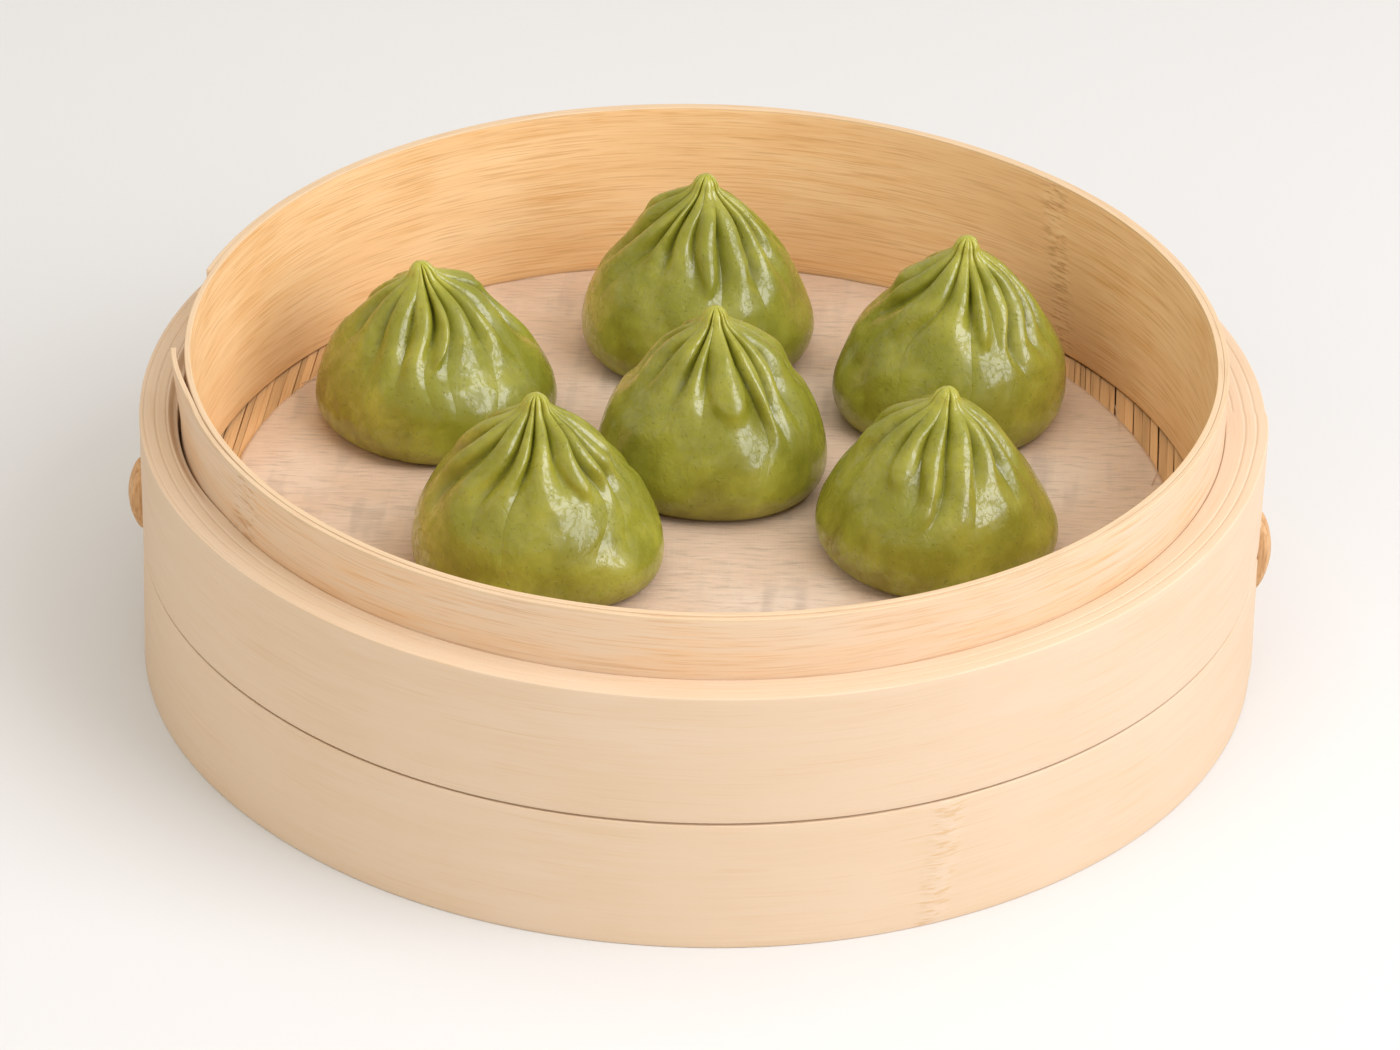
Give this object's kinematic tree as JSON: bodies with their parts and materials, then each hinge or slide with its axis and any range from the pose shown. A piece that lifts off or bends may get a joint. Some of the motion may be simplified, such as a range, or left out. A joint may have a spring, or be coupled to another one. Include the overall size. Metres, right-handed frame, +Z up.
{
  "type": "soup dumplings in a bamboo steamer basket",
  "caption": "Pleated green soup dumplings on a thin cloth liner in an open round bamboo steamer basket with a stepped lip and a slatted floor.",
  "frame": {"origin": "middle of the basket's foot, on the surface it stands on", "axes": "+Z up through the basket, -Y towards the front, +X to the right seen from the front"},
  "size_m": [0.2158, 0.211, 0.0663],
  "materials": {
    "outer_bamboo": "pale sanded bamboo with fine grain running round the hoops",
    "inner_bamboo": "warm tan inner side of a split bamboo strip, fine grain running round",
    "floor_bamboo": "split bamboo slats, steamed to a darker tan",
    "cane": "dry rattan cane",
    "cloth": "thin unbleached steamer cloth with fine crosswise threads",
    "dough": "steamed green dough skin, moist and glossy, slightly translucent"
  },
  "bodies": {
    "root": {"lower_hoop": "outer_bamboo", "upper_hoop": "outer_bamboo", "outer_ply": "outer_bamboo", "inner_ply": "inner_bamboo", "ledge_ring": "floor_bamboo", "batten_front": "floor_bamboo", "batten_back": "floor_bamboo", "slat_01": "floor_bamboo", "slat_02": "floor_bamboo", "slat_03": "floor_bamboo", "slat_04": "floor_bamboo", "slat_05": "floor_bamboo", "slat_06": "floor_bamboo", "slat_07": "floor_bamboo", "slat_08": "floor_bamboo", "slat_09": "floor_bamboo", "slat_10": "floor_bamboo", "slat_11": "floor_bamboo", "slat_12": "floor_bamboo", "slat_13": "floor_bamboo", "slat_14": "floor_bamboo", "slat_15": "floor_bamboo", "slat_16": "floor_bamboo", "slat_17": "floor_bamboo", "slat_18": "floor_bamboo", "slat_19": "floor_bamboo", "slat_20": "floor_bamboo", "slat_21": "floor_bamboo", "slat_22": "floor_bamboo", "slat_23": "floor_bamboo", "slat_24": "floor_bamboo", "slat_25": "floor_bamboo", "slat_26": "floor_bamboo", "slat_27": "floor_bamboo", "slat_28": "floor_bamboo", "slat_29": "floor_bamboo", "slat_30": "floor_bamboo", "slat_31": "floor_bamboo", "slat_32": "floor_bamboo", "slat_33": "floor_bamboo", "slat_34": "floor_bamboo", "slat_35": "floor_bamboo", "slat_36": "floor_bamboo", "slat_37": "floor_bamboo", "slat_38": "floor_bamboo", "slat_39": "floor_bamboo", "slat_40": "floor_bamboo", "lashing_left": "cane", "lashing_right": "cane", "liner": "cloth", "dumpling_back": "dough", "dumpling_left": "dough", "dumpling_centre": "dough", "dumpling_right": "dough", "dumpling_front_left": "dough", "dumpling_front_right": "dough"}
  },
  "joints": []
}
